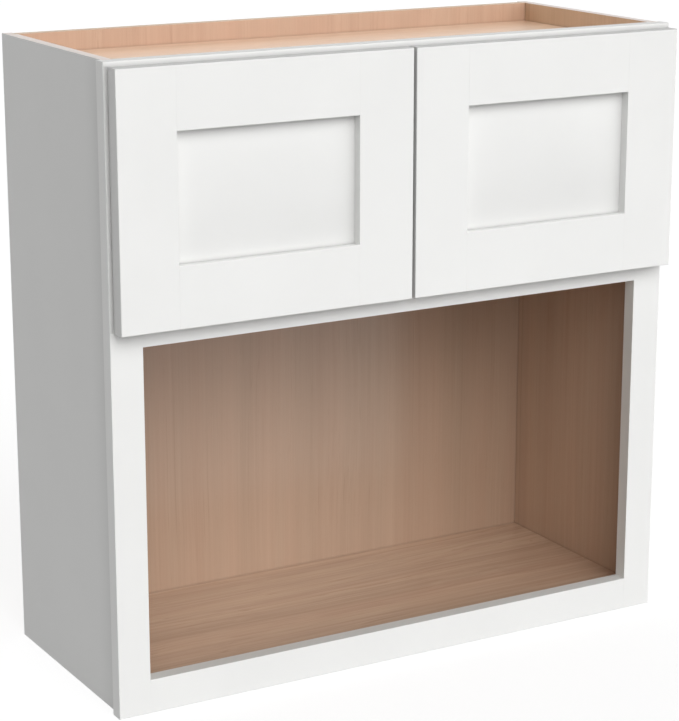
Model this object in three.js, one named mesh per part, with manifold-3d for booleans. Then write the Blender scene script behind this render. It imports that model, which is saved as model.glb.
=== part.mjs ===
// A wall-hung microwave cabinet: a plywood box behind a painted face frame, with an open bay for the oven
// below and a cupboard with two shaker doors above. Millimetres, +Z up, and the front faces -Y.
//
// The boards are really joined: the floor, shelf, top and back have tongues in dados of the sides and in
// grooves of the frame, the frame's rails are tenoned into its stiles, and each door's rails and panel slide
// into grooves.
// The doors turn on concealed hinges, each with its cup, pin, closing spring, arm, plate and screws.

import * as THREE from 'three';
import { mergeVertices } from 'three/addons/utils/BufferGeometryUtils.js';
import Module from 'manifold-3d';

const wasm = await Module();
wasm.setup();

// ----------------------------------------------------------------------------------- driving sizes

// The whole cabinet
const cabinetWidth = 762; // edge to edge of the face frame
const cabinetHeight = 762;
const cabinetDepth = 304.8; // front of the face frame to the rear edges of the sides

// The face frame
const frameThickness = 18;
const frameOverhang = 6; // the frame stands this far past each side panel
const stileWidth = 40.2;
const topRailHeight = 41.4;
const middleRailHeight = 41.4;
const bottomRailHeight = 41.4;
const bayOpeningHeight = 399; // clear height between the bottom rail and the middle rail
const tenonLength = 16;
const tenonThickness = 6;
const tenonShoulder = 6; // the rail is this much taller than its tenon, above and below
const frameGrooveDepth = 6; // grooves in the back of the frame, for the box

// The plywood box
const sideThickness = 12.7;
const boardThickness = 12.7; // floor, shelf and top
const backThickness = 12.7;
const dadoDepth = 6.35; // dados and grooves in the inner faces of the sides
const tongueThickness = 6.35; // tongues left on the edges of the floor, shelf, top and back
const floorStep = 11.2; // a board's upper face is this far below the upper edge of the rail in front of it
const topRecess = 23.5; // the top panel is set down by this much
const backInset = 6.35; // the back panel stands this far in front of the sides' rear edges
const edgeRadius = 0.8; // eased arris of the painted frame

// The doors
const doorThickness = 20;
const doorSideReveal = 4; // frame left showing beside a door
const doorTopReveal = 5.3; // frame left showing above a door
const middleRailReveal = 20.7; // middle rail left showing below the doors
const doorGap = 3.6; // between the two doors
const doorStileWidth = 72;
const doorRailHeight = 72.6;
const doorPanelThickness = 5;
const doorPanelRecess = 12.4; // front face of the door to the front of its panel
const doorGrooveDepth = 10;
const doorEdgeRadius = 1.2; // eased arris of a door
const bumperThickness = 2.7;
const bumperRadius = 4.5;
const bumperRim = 1.1; // height of its straight edge, under the dome
const bumperInset = 10.4; // centre of a bumper from the door's end and from its meeting edge
const bumperClearance = 0.2; // a closed door's bumper to the frame

// The hinges
const hingeInset = 70; // centre of a hinge from the door's end
const cupBoreRadius = 17.5;
const cupBoreDepth = 12.2;
const cupEdgeDistance = 3; // wood left between the cup's bore and the door's edge
const cupWall = 0.9;
const cheekThickness = 2.25; // the cup's two lugs that hold the pin
const cupFlange = 1;
const cupFlangeRim = 1.2; // the flange's ring stands this far past the bore
const wingRadius = 5.5;
const dowelSpacing = 45; // between the cup's two dowels, under its wings
const dowelOffset = 9.5; // the dowels from the centre of the cup, away from the door's edge
const dowelRadius = 4;
const dowelLength = 8;
const dowelHeadRadius = 3;
const dowelHeadHeight = 1.1;
const pinRadius = 1.1;
const pinInset = 6.6; // pin from the door's outer edge
const pinDepth = 8.2; // pin from the door's back face
const pinLength = 14.4;
const knuckleRadius = 2.3; // the arm's eye round the pin
const armWidth = 10;
const armThickness = 1.5;
const armDrop = 0.45; // the arm leaves its eye this far below the pin's centre
const armKneeStart = 11; // from the pin to where the arm turns up out of the cup
const armKneeRun = 13.5; // length of that slope, along the door
const armBendRadius = 2.4;
const plateThickness = 1.8;
const plateHeight = 50;
const plateCornerRadius = 4;
const plateMargin = 1.5; // the plate stops this far inside the stile's two faces
const plateScrewSpacing = 34;
const plateScrewOffset = 1; // the screws in front of the middle of the stile, clear of the groove behind
const plateScrewLength = 24;
const screwRadius = 1.6;
const screwHeadRadius = 3.6;
const screwHeadHeight = 2;
const adjusterRadius = 2;
const adjusterHeadRadius = 3.4;
const adjusterLength = 6.5;
const recessReach = 0.6; // the cross in a screw's head, as shares of the head's radius and height
const recessHalfWidth = 0.13;
const recessFloor = 0.45;
const springWireRadius = 0.4;
const springPitch = 1.26;
const springTurns = 4;
const springLegLength = 8.5;

// Fits
const glueLine = 0.1; // between glued boards
const panelFloat = 0.4; // room for a door's panel to move in its grooves
const runningGap = 0.1; // radial, pin to knuckle and screws to their holes
const screwGap = 0.3; // radial, screws to the holes that they pass through
const seatGap = 0.05; // metal to wood, and metal to metal
const sideGap = 0.2; // the arm between the cheeks of the cup
const springGap = 0.3; // the spring to the pin inside it and to the knuckles at its ends
const springRoom = 0.4; // the spring to the arm that it lies in

// -------------------------------------------------------------------- places that follow from them

const frameBack = frameThickness;
const sideOuter = cabinetWidth / 2 - frameOverhang;
const sideInner = sideOuter - sideThickness;
const openingHalfWidth = cabinetWidth / 2 - stileWidth;
const middleRailBottom = bottomRailHeight + bayOpeningHeight;
const middleRailTop = middleRailBottom + middleRailHeight;
const topRailBottom = cabinetHeight - topRailHeight;
const floorTop = bottomRailHeight - floorStep;
const shelfTop = middleRailTop - floorStep;
const topPanelTop = cabinetHeight - topRecess;
const backRear = cabinetDepth - backInset;
const backFront = backRear - backThickness;
const backTongueRear = backFront + tongueThickness;

const doorStandoff = bumperThickness + bumperClearance; // a closed door's back face to the frame
const doorBack = -doorStandoff;
const doorFront = doorBack - doorThickness;
const doorOuter = cabinetWidth / 2 - doorSideReveal;
const doorInner = doorGap / 2;
const doorBottom = middleRailBottom + middleRailReveal;
const doorTop = cabinetHeight - doorTopReveal;
const doorRailOuter = doorOuter - doorStileWidth;
const doorRailInner = doorInner + doorStileWidth;
const doorTongue = doorGrooveDepth - panelFloat;
const doorPanelFront = doorFront + doorPanelRecess;
const doorPanelBack = doorPanelFront + doorPanelThickness;
const hingeHeights = { upper: doorTop - hingeInset, lower: doorBottom + hingeInset };
const pinPlace = new THREE.Vector2(doorOuter - pinInset, doorBack - pinDepth);

// The middle of the cabinet's whole depth, doors included
const middleDepth = (doorFront + cabinetDepth) / 2;

// ---------------------------------------------------------------------------------------- finishes

const paint = new THREE.MeshStandardMaterial({ color: 0xefefed, roughness: 0.45, metalness: 0 });
const plywood = new THREE.MeshStandardMaterial({ color: 0xd9b294, roughness: 0.6, metalness: 0 });
const nickel = new THREE.MeshStandardMaterial({ color: 0xb9b7b2, roughness: 0.28, metalness: 1 });
const springSteel = new THREE.MeshStandardMaterial({ color: 0x8f8d8a, roughness: 0.35, metalness: 1 });
const zincPlate = new THREE.MeshStandardMaterial({ color: 0xc6c4bd, roughness: 0.35, metalness: 1 });
const clearRubber = new THREE.MeshStandardMaterial({ color: 0xe4e4de, roughness: 0.4, metalness: 0 });

// --------------------------------------------------------------------------------- solid modelling

// A closed three.js geometry as a solid that can be joined and cut
function solid(geometry) {
  const bare = geometry.clone();
  bare.deleteAttribute('normal');
  bare.deleteAttribute('uv');
  const merged = mergeVertices(bare, 1e-4);
  const corners = merged.index.array;
  const triangles = [];
  for (let i = 0; i < corners.length; i += 3) {
    const [a, b, c] = corners.slice(i, i + 3);
    if (a !== b && b !== c && c !== a) triangles.push(a, b, c);
  }
  return new wasm.Manifold(new wasm.Mesh({
    numProp: 3,
    vertProperties: Float32Array.from(merged.attributes.position.array),
    triVerts: Uint32Array.from(triangles),
  }));
}

function geometryOf(body) {
  const mesh = body.getMesh();
  const geometry = new THREE.BufferGeometry();
  geometry.setAttribute('position', new THREE.BufferAttribute(Float32Array.from(mesh.vertProperties), 3));
  geometry.setIndex(Array.from(mesh.triVerts));
  geometry.computeVertexNormals();
  return geometry;
}

const join = (first, ...others) => others.reduce((sum, next) => sum.add(next), first);
const cut = (first, ...others) => others.reduce((rest, next) => rest.subtract(next), first);

// A rectangular block between two values on each axis
function block([x0, x1], [y0, y1], [z0, z1]) {
  const box = new THREE.BoxGeometry(x1 - x0, y1 - y0, z1 - z0);
  return solid(box.translate((x0 + x1) / 2, (y0 + y1) / 2, (z0 + z1) / 2));
}

// How finely round forms are faceted
const arcSteps = 5;
const roundSides = 14;
const cupSides = 28;
const bendSteps = 4;
const domeSteps = 3;

const outline = (points) => new THREE.Shape(points.map(([a, b]) => new THREE.Vector2(a, b)));

// Extrusions of an outline: the outline's two axes are x and y, y and z, or x and z
function extrudeZ(shape, z0, z1) {
  const settings = { depth: z1 - z0, bevelEnabled: false, curveSegments: arcSteps };
  return solid(new THREE.ExtrudeGeometry(shape, settings).translate(0, 0, z0));
}

function extrudeX(shape, x0, x1) {
  const settings = { depth: x1 - x0, bevelEnabled: false, curveSegments: arcSteps };
  const extruded = new THREE.ExtrudeGeometry(shape, settings);
  const turn = new THREE.Matrix4().makeBasis(
    new THREE.Vector3(0, 1, 0), new THREE.Vector3(0, 0, 1), new THREE.Vector3(1, 0, 0));
  return solid(extruded.applyMatrix4(turn).translate(x0, 0, 0));
}

function extrudeY(shape, y0, y1, options = {}) {
  const settings = { depth: y1 - y0, bevelEnabled: false, curveSegments: arcSteps, ...options };
  const extruded = new THREE.ExtrudeGeometry(shape, settings);
  const turn = new THREE.Matrix4().makeBasis(
    new THREE.Vector3(1, 0, 0), new THREE.Vector3(0, 0, 1), new THREE.Vector3(0, -1, 0));
  return solid(extruded.applyMatrix4(turn).translate(0, y1, 0));
}

// A round bar along an axis ('x', 'y' or 'z') from one value to another, at a place in the other two
function bar(axis, radius, from, to, [a, b], sides = roundSides) {
  const cylinder = new THREE.CylinderGeometry(radius, radius, to - from, sides);
  const middle = (from + to) / 2;
  if (axis === 'x') cylinder.rotateZ(-Math.PI / 2).translate(middle, a, b);
  if (axis === 'y') cylinder.translate(a, middle, b);
  if (axis === 'z') cylinder.rotateX(Math.PI / 2).translate(a, b, middle);
  return solid(cylinder);
}

// A rectangular slab with its four long arrises eased, standing in the x-z plane
function easedSlab([x0, x1], [y0, y1], [z0, z1], radius) {
  const inner = outline([
    [x0 + radius, z0 + radius], [x1 - radius, z0 + radius],
    [x1 - radius, z1 - radius], [x0 + radius, z1 - radius],
  ]);
  return extrudeY(inner, y0 + radius, y1 - radius, {
    bevelEnabled: true, bevelThickness: radius, bevelSize: radius, bevelSegments: 3,
  });
}

// The outline of sheet metal bent along a line of corners, with the same bend at each
function bentStrip(corners, bendRadius, thickness) {
  const stations = []; // points on the centre line, each with its heading
  const heading = (from, to) => Math.atan2(to[1] - from[1], to[0] - from[0]);
  stations.push({ at: corners[0], angle: heading(corners[0], corners[1]) });
  for (let i = 1; i < corners.length - 1; i++) {
    const before = heading(corners[i - 1], corners[i]);
    const after = heading(corners[i], corners[i + 1]);
    const side = Math.sign(after - before);
    const setback = bendRadius * Math.tan(Math.abs(after - before) / 2);
    const centre = [
      corners[i][0] - Math.cos(before) * setback - side * Math.sin(before) * bendRadius,
      corners[i][1] - Math.sin(before) * setback + side * Math.cos(before) * bendRadius,
    ];
    for (let k = 0; k <= bendSteps; k++) {
      const angle = before + ((after - before) * k) / bendSteps;
      const at = [
        centre[0] + side * Math.sin(angle) * bendRadius,
        centre[1] - side * Math.cos(angle) * bendRadius,
      ];
      stations.push({ at, angle });
    }
  }
  const last = corners.length - 1;
  stations.push({ at: corners[last], angle: heading(corners[last - 1], corners[last]) });
  const face = (side) => stations.map(({ at, angle }) => [
    at[0] - (side * Math.sin(angle) * thickness) / 2,
    at[1] + (side * Math.cos(angle) * thickness) / 2,
  ]);
  return outline([...face(-1), ...face(1).reverse()]);
}

// -------------------------------------------------------------------------- the assembly of pieces

const cabinet = new THREE.Group();
cabinet.position.y = -middleDepth; // inside the group, y = 0 is the front of the face frame

// The right-hand piece as modelled, or its mirror image for the left
function handed(side, geometry) {
  if (side === 'right') return geometry;
  const mirrored = geometry.clone().scale(-1, 1, 1);
  const corners = mirrored.index.array;
  for (let i = 0; i < corners.length; i += 3) {
    [corners[i + 1], corners[i + 2]] = [corners[i + 2], corners[i + 1]];
  }
  mirrored.computeVertexNormals();
  return mirrored;
}

function place(parent, name, body, material, side = 'right') {
  const mesh = new THREE.Mesh(handed(side, geometryOf(body)), material.clone());
  mesh.name = name;
  parent.add(mesh);
  return mesh;
}

// ------------------------------------------------------------------------------------- plywood box

// A board's tongue is the lower part of its edge, and this is the slot that the tongue stands in
const tongueSlot = (top) => {
  const low = top - boardThickness;
  return [low - glueLine, low + tongueThickness + glueLine];
};
const sideFrontEdge = frameBack - frameGrooveDepth + glueLine;

function sidePanel() {
  const dadoFloor = sideInner + dadoDepth;
  const plan = outline([
    [sideInner, sideFrontEdge], [sideOuter, sideFrontEdge], [sideOuter, cabinetDepth],
    [sideInner, cabinetDepth], [sideInner, backTongueRear + glueLine], [dadoFloor, backTongueRear + glueLine],
    [dadoFloor, backFront - glueLine], [sideInner, backFront - glueLine],
  ]);
  const dados = [floorTop, shelfTop, topPanelTop].map((top) => block(
    [sideInner - dadoDepth, dadoFloor], [sideFrontEdge - dadoDepth, backFront], tongueSlot(top)));
  return cut(extrudeZ(plan, 0, cabinetHeight), ...dados);
}

// Floor, shelf or top: a board with tongues in the sides' dados and in the groove of the rail in front of it
function boxBoard(top) {
  const low = top - boardThickness;
  const shoulder = sideInner - glueLine;
  const end = sideInner + dadoDepth - glueLine;
  const tongueEnd = openingHalfWidth - glueLine;
  const tongueFront = frameBack - frameGrooveDepth + glueLine;
  const front = frameBack + glueLine;
  const rear = backFront - glueLine;
  const tongues = outline([
    [-end, front], [-tongueEnd, front], [-tongueEnd, tongueFront], [tongueEnd, tongueFront],
    [tongueEnd, front], [end, front], [end, rear], [-end, rear],
  ]);
  const board = block([-shoulder, shoulder], [front, rear], [low, top]);
  return join(board, extrudeZ(tongues, low, low + tongueThickness));
}

// The back's tongues are flush with its inner face, so its rear face ends between the sides
function backPanel() {
  const shoulder = sideInner - glueLine;
  const end = sideInner + dadoDepth - glueLine;
  const plan = outline([
    [-end, backFront], [end, backFront], [end, backTongueRear], [shoulder, backTongueRear],
    [shoulder, backRear], [-shoulder, backRear], [-shoulder, backTongueRear], [-end, backTongueRear],
  ]);
  return extrudeZ(plan, 0, cabinetHeight);
}

for (const side of ['left', 'right']) {
  place(cabinet, `side_panel_${side}`, sidePanel(), plywood, side);
}
place(cabinet, 'back_panel', backPanel(), plywood);
place(cabinet, 'top_panel', boxBoard(topPanelTop), plywood);
place(cabinet, 'cupboard_shelf', boxBoard(shelfTop), plywood);
place(cabinet, 'bottom_panel', boxBoard(floorTop), plywood);

// -------------------------------------------------------------------------------------- face frame

const tenonFront = (frameThickness - tenonThickness) / 2;
// The frame's outer arrises are eased at the front and square at the back
const frameEnvelope = easedSlab([-cabinetWidth / 2, cabinetWidth / 2], [0, frameThickness + 2 * edgeRadius],
  [0, cabinetHeight], edgeRadius);
const railHeights = {
  bottom: [0, bottomRailHeight],
  middle: [middleRailBottom, middleRailTop],
  top: [topRailBottom, cabinetHeight],
};
const boardBehindRail = { bottom: floorTop, middle: shelfTop, top: topPanelTop };

function frameRail(name) {
  const [low, high] = railHeights[name];
  const [slotLow, slotHigh] = tongueSlot(boardBehindRail[name]);
  const grooveFloor = frameBack - frameGrooveDepth;
  const shoulder = openingHalfWidth - glueLine;
  const section = outline([
    [0, low], [frameBack, low], [frameBack, slotLow], [grooveFloor, slotLow],
    [grooveFloor, slotHigh], [frameBack, slotHigh], [frameBack, high], [0, high],
  ]);
  const tenons = block([-shoulder - tenonLength, shoulder + tenonLength],
    [tenonFront, grooveFloor], [low + tenonShoulder, high - tenonShoulder]);
  return join(extrudeX(section, -shoulder, shoulder), tenons).intersect(frameEnvelope);
}

function frameStile() {
  const inner = openingHalfWidth;
  const outer = cabinetWidth / 2;
  const grooveFloor = frameBack - frameGrooveDepth;
  const plan = outline([
    [inner, 0], [outer, 0], [outer, frameBack], [sideOuter + glueLine, frameBack],
    [sideOuter + glueLine, grooveFloor], [sideInner - glueLine, grooveFloor],
    [sideInner - glueLine, frameBack], [inner, frameBack],
  ]);
  const mortises = Object.values(railHeights).map(([low, high]) => block(
    [inner - tenonLength, inner + tenonLength + glueLine],
    [tenonFront - glueLine, grooveFloor + glueLine],
    [low + tenonShoulder - glueLine, high - tenonShoulder + glueLine]));
  return cut(extrudeZ(plan, 0, cabinetHeight).intersect(frameEnvelope), ...mortises, ...stileHoles());
}

// --------------------------------------------------------------------------------- concealed hinge

// Modelled for the right-hand door around its own pin: -x is towards the middle of the door, +y towards the
// frame, and z = 0 is half-way up the hinge.
const doorBackFace = pinDepth;
const frameFace = pinDepth + doorStandoff;
const stileEdge = -(stileWidth - doorSideReveal - pinInset); // the frame opening's edge
const cupCentre = -(cupEdgeDistance + cupBoreRadius - pinInset);
const wingCentre = cupCentre - dowelOffset;
const cupBottom = doorBackFace - cupBoreDepth;
const plateFace = stileEdge - seatGap - plateThickness;
const armLegCentre = plateFace - seatGap - armThickness / 2;
const armRunDepth = (doorBackFace + frameFace) / 2; // the arm passes half-way between door and frame
const stileMiddle = frameFace + frameThickness / 2;
const adjusterDepth = stileMiddle;
const screwDepth = stileMiddle - plateScrewOffset;
const flangeTop = doorBackFace + seatGap + cupFlange;
const springRadius = pinRadius + springGap + springWireRadius; // the pin to the middle of the wire
const springSpace = springTurns * springPitch + 2 * (springWireRadius + springGap);

// The pressed flange: a ring round the cup and two wings over the dowels
function cupFlangeBody() {
  const from = doorBackFace + seatGap;
  const ring = bar('y', cupBoreRadius + cupFlangeRim, from, flangeTop, [cupCentre, 0], cupSides);
  const wingReach = dowelSpacing / 2;
  const wings = new THREE.Shape();
  wings.absarc(wingCentre, wingReach, wingRadius, 0, Math.PI, false);
  wings.absarc(wingCentre, -wingReach, wingRadius, Math.PI, 2 * Math.PI, false);
  return join(ring, extrudeY(wings, from, flangeTop));
}

function hingeCup() {
  const outerRadius = cupBoreRadius - runningGap;
  const innerRadius = outerRadius - cupWall;
  const bottom = cupBottom + 2 * runningGap;
  const cheekFrom = armWidth / 2 + sideGap;
  const cheekRadius = knuckleRadius + cupWall;
  const shell = bar('y', outerRadius, bottom, doorBackFace + cupFlange / 2, [cupCentre, 0], cupSides);
  const hollow = bar('y', innerRadius, bottom + cupWall, flangeTop + cupFlange, [cupCentre, 0], cupSides);
  const cheek = (from, to) => join(
    bar('z', cheekRadius, from, to, [0, 0]),
    block([-cheekRadius, cheekRadius], [bottom, 0], [from, to]),
  ).intersect(bar('y', outerRadius, bottom, doorBackFace, [cupCentre, 0], cupSides));
  const cheekTo = cheekFrom + cheekThickness;
  const knuckleSlot = block([-knuckleRadius, -cupCentre], [-knuckleRadius - runningGap, doorBackFace],
    [-cheekFrom, cheekFrom]);
  const armSlotNear = block([-knuckleRadius, pinInset - cupEdgeDistance],
    [doorBackFace, flangeTop + cupFlange], [-cheekFrom, cheekFrom]);
  const armSlotFar = block([armLegCentre - armThickness - cupFlangeRim, cupCentre],
    [doorBackFace, flangeTop + cupFlange], [-cheekFrom, cheekFrom]);
  const dowels = [-1, 1].flatMap((end) => {
    const centre = [wingCentre, (end * dowelSpacing) / 2];
    return [
      bar('y', dowelRadius, doorBackFace - dowelLength, flangeTop - cupFlange / 2, centre),
      bar('y', dowelHeadRadius, flangeTop - cupFlange / 2, flangeTop + dowelHeadHeight, centre),
    ];
  });
  const pressing = cut(join(shell, cupFlangeBody()), hollow);
  return cut(
    join(pressing, cheek(cheekFrom, cheekTo), cheek(-cheekTo, -cheekFrom), ...dowels),
    knuckleSlot, armSlotNear, armSlotFar,
    bar('z', pinRadius + seatGap, -cheekTo - cupWall, cheekTo + cupWall, [0, 0]),
  );
}

const hingePin = () => bar('z', pinRadius, -pinLength / 2, pinLength / 2, [0, 0]);

// Two knuckles round the pin, then bent sheet steel: along the cup, up out of it, between the door and the
// frame, and back along the plate
function hingeArm() {
  const legEnd = frameFace + frameThickness - plateMargin;
  const halfWidth = armWidth / 2;
  const strip = bentStrip([
    [0, -armDrop], [-armKneeStart, -armDrop], [-armKneeStart - armKneeRun, armRunDepth],
    [armLegCentre, armRunDepth], [armLegCentre, legEnd],
  ], armBendRadius, armThickness);
  const knuckle = bar('z', knuckleRadius, -halfWidth, halfWidth, [0, 0]);
  return cut(
    join(extrudeZ(strip, -halfWidth, halfWidth), knuckle),
    bar('z', pinRadius + runningGap, -armWidth, armWidth, [0, 0]),
    bar('z', springRadius + springWireRadius + springRoom, -springSpace / 2, springSpace / 2, [0, 0]),
    bar('x', adjusterRadius + screwGap, armLegCentre - armWidth, armLegCentre + armThickness,
      [adjusterDepth, 0]),
  );
}

function hingePlate() {
  const y0 = frameFace + plateMargin;
  const y1 = frameFace + frameThickness - plateMargin;
  const half = plateHeight / 2;
  const r = plateCornerRadius;
  const shape = new THREE.Shape();
  shape.absarc(y0 + r, -half + r, r, Math.PI, 1.5 * Math.PI, false);
  shape.absarc(y1 - r, -half + r, r, 1.5 * Math.PI, 2 * Math.PI, false);
  shape.absarc(y1 - r, half - r, r, 0, 0.5 * Math.PI, false);
  shape.absarc(y0 + r, half - r, r, 0.5 * Math.PI, Math.PI, false);
  const holes = [-1, 1].map((end) => bar('x', screwRadius + screwGap, plateFace - plateThickness,
    stileEdge + plateThickness, [screwDepth, (end * plateScrewSpacing) / 2]));
  const adjusterHole = bar('x', adjusterRadius + runningGap, plateFace - plateThickness,
    stileEdge + plateThickness, [adjusterDepth, 0]);
  return cut(extrudeX(shape, plateFace, stileEdge - seatGap), ...holes, adjusterHole);
}

// A screw along +x with its head's underside at x = 0: domed head, crossed recess, shank and point
function screw(radius, length, headRadius, headHeight) {
  const profile = [new THREE.Vector2(0, length), new THREE.Vector2(radius, length - 2 * radius),
    new THREE.Vector2(radius, 0), new THREE.Vector2(headRadius, 0)];
  for (let k = 1; k <= domeSteps; k++) {
    const angle = (Math.PI / 2) * (k / domeSteps);
    profile.push(new THREE.Vector2(headRadius * Math.cos(angle), -headHeight * Math.sin(angle)));
  }
  profile[profile.length - 1].x = 0;
  const turned = solid(new THREE.LatheGeometry(profile.reverse(), roundSides).rotateZ(-Math.PI / 2));
  const reach = headRadius * recessReach;
  const halfWidth = headRadius * recessHalfWidth;
  const recess = [[reach, halfWidth], [halfWidth, reach]].map(([a, b]) => block(
    [-headHeight - halfWidth, -headHeight * recessFloor], [-a, a], [-b, b]));
  return cut(turned, ...recess);
}

// A torsion spring round the pin, wound as one tube, with a straight leg on the floor of the cup
function closingSpring() {
  const stepsPerTurn = 8;
  const sides = 5;
  const height = springTurns * springPitch;
  const centreLine = [new THREE.Vector3(-springLegLength, -springRadius, -height / 2)];
  for (let k = 0; k <= springTurns * stepsPerTurn; k++) {
    const turn = k / stepsPerTurn;
    const angle = -Math.PI / 2 + turn * 2 * Math.PI;
    centreLine.push(new THREE.Vector3(
      springRadius * Math.cos(angle), springRadius * Math.sin(angle), -height / 2 + turn * springPitch));
  }
  const gap = leastTurnGap(centreLine, stepsPerTurn);
  console.log(`closing spring, least gap between turns: ${gap.toFixed(2)} mm`);
  return tube(centreLine, springWireRadius, sides);
}

// The least gap between stretches of the wire that are most of a turn apart
function leastTurnGap(centreLine, stepsPerTurn) {
  let least = Infinity;
  for (let i = 0; i < centreLine.length; i++) {
    for (let j = i + stepsPerTurn - 2; j < centreLine.length; j++) {
      least = Math.min(least, centreLine[i].distanceTo(centreLine[j]) - 2 * springWireRadius);
    }
  }
  return least;
}

// A closed tube through a line of points, wound round the z axis
function tube(centreLine, radius, sides) {
  const positions = [];
  const faces = [];
  centreLine.forEach((point, i) => {
    const ahead = centreLine[Math.min(i + 1, centreLine.length - 1)];
    const behind = centreLine[Math.max(i - 1, 0)];
    const along = new THREE.Vector3().subVectors(ahead, behind).normalize();
    const across = new THREE.Vector3().crossVectors(along, new THREE.Vector3(0, 0, 1)).normalize();
    const up = new THREE.Vector3().crossVectors(across, along);
    for (let k = 0; k < sides; k++) {
      const angle = (2 * Math.PI * k) / sides;
      const corner = point.clone()
        .addScaledVector(across, radius * Math.cos(angle))
        .addScaledVector(up, radius * Math.sin(angle));
      positions.push(corner.x, corner.y, corner.z);
    }
  });
  const rings = centreLine.length;
  for (let i = 0; i < rings - 1; i++) {
    for (let k = 0; k < sides; k++) {
      const a = i * sides + k;
      const b = i * sides + ((k + 1) % sides);
      faces.push(a, b + sides, b, a, a + sides, b + sides);
    }
  }
  const lastRing = (rings - 1) * sides;
  for (let k = 1; k < sides - 1; k++) {
    faces.push(0, k, k + 1);
    faces.push(lastRing, lastRing + k + 1, lastRing + k);
  }
  const geometry = new THREE.BufferGeometry();
  geometry.setAttribute('position', new THREE.Float32BufferAttribute(positions, 3));
  geometry.setIndex(faces);
  return solid(geometry);
}

// Holes in the right-hand stile for the plate screws and the end of the adjusting screw, at both hinges
function stileHoles() {
  const [pinX, pinY] = pinPlace.toArray();
  const mouth = pinX + stileEdge - plateThickness;
  return Object.values(hingeHeights).flatMap((height) => [
    ...[-1, 1].map((end) => bar('x', screwRadius + runningGap, mouth,
      pinX + plateFace + plateScrewLength + runningGap,
      [pinY + screwDepth, height + (end * plateScrewSpacing) / 2])),
    bar('x', adjusterRadius + screwGap, mouth, pinX + plateFace + adjusterLength,
      [pinY + adjusterDepth, height]),
  ]);
}

// Holes in the right-hand door's outer stile for the hinges' cups and dowels
function cupHoles() {
  const [pinX, pinY] = pinPlace.toArray();
  return Object.values(hingeHeights).flatMap((height) => [
    bar('y', cupBoreRadius, pinY + cupBottom, doorBack + doorStandoff, [pinX + cupCentre, height], cupSides),
    ...[-1, 1].map((end) => bar('y', dowelRadius + runningGap, doorBack - dowelLength - screwGap,
      doorBack + doorStandoff, [pinX + wingCentre, height + (end * dowelSpacing) / 2])),
  ]);
}

// ----------------------------------------------------------------------------- frame, put together

for (const side of ['left', 'right']) {
  place(cabinet, `frame_stile_${side}`, frameStile(), paint, side);
}
for (const name of ['top', 'middle', 'bottom']) {
  place(cabinet, `frame_rail_${name}`, frameRail(name), paint);
}

// ------------------------------------------------------------------------------------------- doors

const doorEnvelope = easedSlab(
  [doorInner, doorOuter], [doorFront, doorBack], [doorBottom, doorTop], doorEdgeRadius);
const grooveFront = doorPanelFront - glueLine;
const grooveBack = doorPanelBack + glueLine;

// A door stile's section: a groove in the edge that faces the panel
function doorStile(panelEdge, freeEdge) {
  const inward = Math.sign(freeEdge - panelEdge);
  const grooveFloor = panelEdge + inward * doorGrooveDepth;
  const plan = outline([
    [panelEdge, doorFront], [freeEdge, doorFront], [freeEdge, doorBack], [panelEdge, doorBack],
    [panelEdge, grooveBack], [grooveFloor, grooveBack], [grooveFloor, grooveFront], [panelEdge, grooveFront],
  ]);
  return extrudeZ(plan, doorBottom, doorTop).intersect(doorEnvelope);
}

// A door rail's section has the same groove, and its ends have tongues that fill the stiles' grooves
function doorRail(panelEdge, freeEdge) {
  const outward = Math.sign(freeEdge - panelEdge);
  const grooveFloor = panelEdge + outward * doorGrooveDepth;
  const section = outline([
    [doorFront, freeEdge], [doorFront, panelEdge], [grooveFront, panelEdge], [grooveFront, grooveFloor],
    [grooveBack, grooveFloor], [grooveBack, panelEdge], [doorBack, panelEdge], [doorBack, freeEdge],
  ]);
  const body = extrudeX(section, doorRailInner + glueLine, doorRailOuter - glueLine);
  const tongues = block([doorRailInner - doorTongue, doorRailOuter + doorTongue],
    [doorPanelFront, doorPanelBack], [grooveFloor, freeEdge].sort((a, b) => a - b));
  return join(body, tongues).intersect(doorEnvelope);
}

function doorPanel() {
  return block([doorRailInner - doorTongue, doorRailOuter + doorTongue], [doorPanelFront, doorPanelBack],
    [doorBottom + doorRailHeight - doorTongue, doorTop - doorRailHeight + doorTongue]);
}

// A soft domed disc on the back of the door
function bumper(height) {
  const domeHeight = bumperThickness - seatGap - bumperRim;
  const profile = [new THREE.Vector2(0, 0), new THREE.Vector2(bumperRadius, 0)];
  for (let k = 0; k < domeSteps; k++) {
    const angle = (Math.PI / 2) * (k / domeSteps);
    profile.push(new THREE.Vector2(bumperRadius * Math.cos(angle), bumperRim + domeHeight * Math.sin(angle)));
  }
  profile.push(new THREE.Vector2(0, bumperRim + domeHeight));
  const disc = new THREE.LatheGeometry(profile, roundSides);
  return solid(disc.translate(doorInner + bumperInset, doorBack + seatGap, height));
}

function buildDoor(side) {
  const door = new THREE.Group();
  const name = (piece) => `${side}_door_${piece}`;
  place(door, name('outer_stile'), cut(doorStile(doorRailOuter, doorOuter), ...cupHoles()), paint, side);
  place(door, name('inner_stile'), doorStile(doorRailInner, doorInner), paint, side);
  place(door, name('top_rail'), doorRail(doorTop - doorRailHeight, doorTop), paint, side);
  place(door, name('bottom_rail'), doorRail(doorBottom + doorRailHeight, doorBottom), paint, side);
  place(door, name('panel'), doorPanel(), paint, side);
  place(door, name('upper_bumper'), bumper(doorTop - bumperInset), clearRubber, side);
  place(door, name('lower_bumper'), bumper(doorBottom + bumperInset), clearRubber, side);
  return door;
}

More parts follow.
